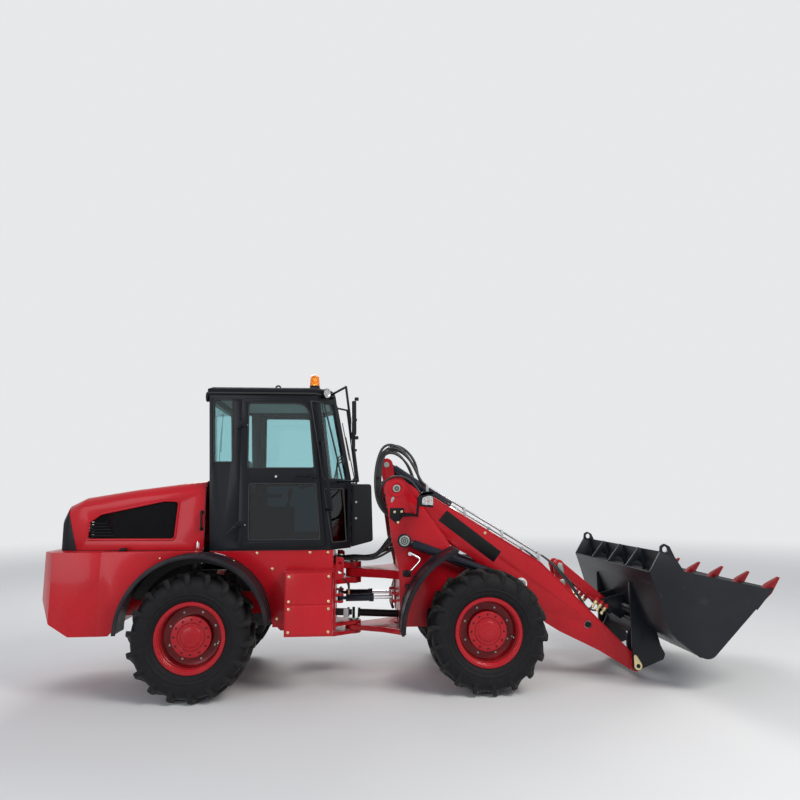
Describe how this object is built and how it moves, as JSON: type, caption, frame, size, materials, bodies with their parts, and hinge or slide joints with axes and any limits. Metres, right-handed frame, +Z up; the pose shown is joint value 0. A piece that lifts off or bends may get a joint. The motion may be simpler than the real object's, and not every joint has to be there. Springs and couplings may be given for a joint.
{
  "type": "wheel loader",
  "caption": "Compact articulated wheel loader with a glazed cab, tilting hood, parallel-lift boom, quick hitch and toothed bucket.",
  "frame": {"origin": "on the floor, under the middle of the machine's overall box", "axes": "+X towards the bucket, +Y to the machine's left, +Z up"},
  "size_m": [7.274, 2.1, 3.195],
  "materials": {
    "red_body": "gloss",
    "red_linkage": "gloss",
    "black_bucket": "satin",
    "red_wheel": "gloss",
    "dark_teeth": "satin",
    "black_chassis": "satin",
    "black_plastic": "matte",
    "black_cylinder": "gloss",
    "steel_rod": "polished",
    "pin_steel": "brushed",
    "tyre_rubber": "matte",
    "cab_window": "clear",
    "lamp_lens": "clear",
    "amber_lens": "gloss",
    "seat_cover": "matte",
    "engine_grey": "satin"
  },
  "bodies": {
    "rear_frame": {"rear_frame": "red_body", "pivot_pins": "pin_steel", "rear_axle": "black_chassis", "counterweight": "red_body", "tow_hitch": "black_chassis", "lamps": "lamp_lens", "side_panels": "red_body", "rear_fenders": "black_plastic", "toolbox": "red_body", "steps": "black_chassis", "engine": "engine_grey", "cab_frame": "black_chassis", "cab_glass": "cab_window", "cab_roof": "black_chassis", "cab_base": "red_body", "front_box": "black_plastic", "seat": "seat_cover", "steering_column": "black_plastic", "beacon": "amber_lens", "mirrors": "black_plastic", "grab_rails": "black_plastic"},
    "hood": {"hood": "red_body", "hood_grilles": "black_plastic"},
    "door_left": {"door_left": "black_chassis", "door_glass_left": "cab_window"},
    "door_right": {"door_right": "black_chassis", "door_glass_right": "cab_window"},
    "front_frame": {"front_frame": "red_body", "frame_pins": "pin_steel", "front_axle": "black_chassis", "front_fenders": "black_plastic", "head_lamps": "black_plastic"},
    "boom": {"boom": "red_linkage", "boom_pipes": "pin_steel"},
    "rocker_shaft": {"rocker_shaft": "pin_steel"},
    "rocker": {"rocker": "red_linkage"},
    "link_pin": {"link_pin": "pin_steel"},
    "link": {"link": "red_linkage"},
    "tilt_pin": {"tilt_pin": "pin_steel"},
    "tilt_barrel": {"tilt_barrel": "black_cylinder"},
    "tilt_rod": {"tilt_rod": "steel_rod"},
    "lift_barrels": {"lift_barrels": "black_cylinder"},
    "lift_rods": {"lift_rods": "steel_rod"},
    "steer_barrel_left": {"steer_barrel_left": "black_cylinder"},
    "steer_rod_left": {"steer_rod_left": "steel_rod"},
    "steer_barrel_right": {"steer_barrel_right": "black_cylinder"},
    "steer_rod_right": {"steer_rod_right": "steel_rod"},
    "hitch_pins": {"hitch_pins": "pin_steel"},
    "bucket": {"hitch": "black_bucket", "bucket": "black_bucket", "bucket_ears": "black_bucket", "bucket_teeth": "dark_teeth"},
    "wheel_front_left": {"tyre_front_left": "tyre_rubber", "rim_front_left": "red_wheel"},
    "wheel_front_right": {"tyre_front_right": "tyre_rubber", "rim_front_right": "red_wheel"},
    "wheel_rear_left": {"tyre_rear_left": "tyre_rubber", "rim_rear_left": "red_wheel"},
    "wheel_rear_right": {"tyre_rear_right": "tyre_rubber", "rim_rear_right": "red_wheel"}
  },
  "joints": [
    {"name": "steer", "type": "hinge", "parent": "rear_frame", "child": "front_frame", "pos_m": [-0.613, 0, 0.8], "axis": [0, 0, 1], "range_deg": [-35, 35]},
    {"name": "lift", "type": "hinge", "parent": "front_frame", "child": "boom", "pos_m": [-0.171, 0, 1.972], "axis": [0, -1, 0], "range_deg": [0, 70]},
    {"name": "level", "type": "hinge", "parent": "boom", "child": "hitch_pins", "pos_m": [2.352, 0, 0.132], "axis": [0, -1, 0], "range_deg": [-52, 1]},
    {"name": "tilt", "type": "hinge", "parent": "hitch_pins", "child": "bucket", "pos_m": [2.352, 0, 0.132], "axis": [0, -1, 0], "range_deg": [-84, 0]},
    {"name": "rocker_level", "type": "hinge", "parent": "boom", "child": "rocker_shaft", "pos_m": [1.863, 0, 0.541], "axis": [0, -1, 0], "range_deg": [-52, 1]},
    {"name": "rocker_turn", "type": "hinge", "parent": "rocker_shaft", "child": "rocker", "pos_m": [1.863, 0, 0.541], "axis": [0, -1, 0], "range_deg": [-85, 1]},
    {"name": "link_level", "type": "hinge", "parent": "rocker", "child": "link_pin", "pos_m": [1.671, 0, 1.124], "axis": [0, -1, 0], "range_deg": [-1, 52]},
    {"name": "link_turn", "type": "hinge", "parent": "link_pin", "child": "link", "pos_m": [1.671, 0, 1.124], "axis": [0, -1, 0], "range_deg": [-1, 85]},
    {"name": "tilt_foot_turn", "type": "hinge", "parent": "front_frame", "child": "tilt_pin", "pos_m": [-0.258, 0, 2.24], "axis": [0, -1, 0], "range_deg": [-1, 4]},
    {"name": "tilt_barrel_turn", "type": "hinge", "parent": "tilt_pin", "child": "tilt_barrel", "pos_m": [-0.258, 0, 2.24], "axis": [0, -1, 0], "range_deg": [-1, 74]},
    {"name": "tilt_stroke", "type": "slide", "parent": "tilt_barrel", "child": "tilt_rod", "axis": [0.8323, 0, -0.5543], "range_m": [-0.001, 0.556]},
    {"name": "lift_barrel_turn", "type": "hinge", "parent": "front_frame", "child": "lift_barrels", "pos_m": [-0.097, 0, 1.434], "axis": [0, -1, 0], "range_deg": [-1, 69]},
    {"name": "lift_stroke", "type": "slide", "parent": "lift_barrels", "child": "lift_rods", "axis": [0.9384, 0, -0.3456], "range_m": [-0.001, 0.622]},
    {"name": "hood_lift", "type": "hinge", "parent": "rear_frame", "child": "hood", "pos_m": [-3.54, 0, 1.378], "axis": [0, -1, 0], "range_deg": [0, 55]},
    {"name": "door_left_swing", "type": "hinge", "parent": "rear_frame", "child": "door_left", "pos_m": [-1.78, 0.705, 2.1], "axis": [0, 0, 1], "range_deg": [0, 85]},
    {"name": "door_right_swing", "type": "hinge", "parent": "rear_frame", "child": "door_right", "pos_m": [-1.78, -0.705, 2.1], "axis": [0, 0, -1], "range_deg": [0, 85]},
    {"name": "steer_barrel_turn_left", "type": "hinge", "parent": "rear_frame", "child": "steer_barrel_left", "pos_m": [-0.758, 0.2, 0.82], "axis": [0, 0, 1], "range_deg": [-27, 27]},
    {"name": "steer_stroke_left", "type": "slide", "parent": "steer_barrel_left", "child": "steer_rod_left", "axis": [0.9994, -0.0348, 0], "range_m": [-0.118, 0.118]},
    {"name": "steer_barrel_turn_right", "type": "hinge", "parent": "rear_frame", "child": "steer_barrel_right", "pos_m": [-0.758, -0.2, 0.82], "axis": [0, 0, 1], "range_deg": [-27, 27]},
    {"name": "steer_stroke_right", "type": "slide", "parent": "steer_barrel_right", "child": "steer_rod_right", "axis": [0.9994, 0.0348, 0], "range_m": [-0.118, 0.118]},
    {"name": "wheel_front_left_spin", "type": "hinge", "parent": "front_frame", "child": "wheel_front_left", "pos_m": [0.687, 0.77, 0.5875], "axis": [0, 1, 0], "continuous": true},
    {"name": "wheel_front_right_spin", "type": "hinge", "parent": "front_frame", "child": "wheel_front_right", "pos_m": [0.687, -0.77, 0.5875], "axis": [0, 1, 0], "continuous": true},
    {"name": "wheel_rear_left_spin", "type": "hinge", "parent": "rear_frame", "child": "wheel_rear_left", "pos_m": [-2.143, 0.77, 0.5875], "axis": [0, 1, 0], "continuous": true},
    {"name": "wheel_rear_right_spin", "type": "hinge", "parent": "rear_frame", "child": "wheel_rear_right", "pos_m": [-2.143, -0.77, 0.5875], "axis": [0, 1, 0], "continuous": true}
  ],
  "couplings": [
    {"joint": "level", "follows": "lift", "ratio": -0.714},
    {"joint": "rocker_level", "follows": "lift", "ratio": -0.714},
    {"joint": "rocker_turn", "follows": "tilt", "ratio": 1},
    {"joint": "link_level", "follows": "lift", "ratio": 0.714},
    {"joint": "link_turn", "follows": "tilt", "ratio": -1},
    {"joint": "tilt_foot_turn", "follows": "tilt", "ratio": -0.0318},
    {"joint": "tilt_barrel_turn", "follows": "lift", "ratio": 1.0314},
    {"joint": "tilt_stroke", "follows": "tilt", "m_per_rad": -0.3783},
    {"joint": "lift_barrel_turn", "follows": "lift", "ratio": 0.968},
    {"joint": "lift_stroke", "follows": "lift", "m_per_rad": 0.5074},
    {"joint": "steer_barrel_turn_left", "follows": "steer", "ratio": 0.753},
    {"joint": "steer_stroke_left", "follows": "steer", "m_per_rad": -0.1897},
    {"joint": "steer_barrel_turn_right", "follows": "steer", "ratio": 0.753},
    {"joint": "steer_stroke_right", "follows": "steer", "m_per_rad": 0.1897}
  ]
}
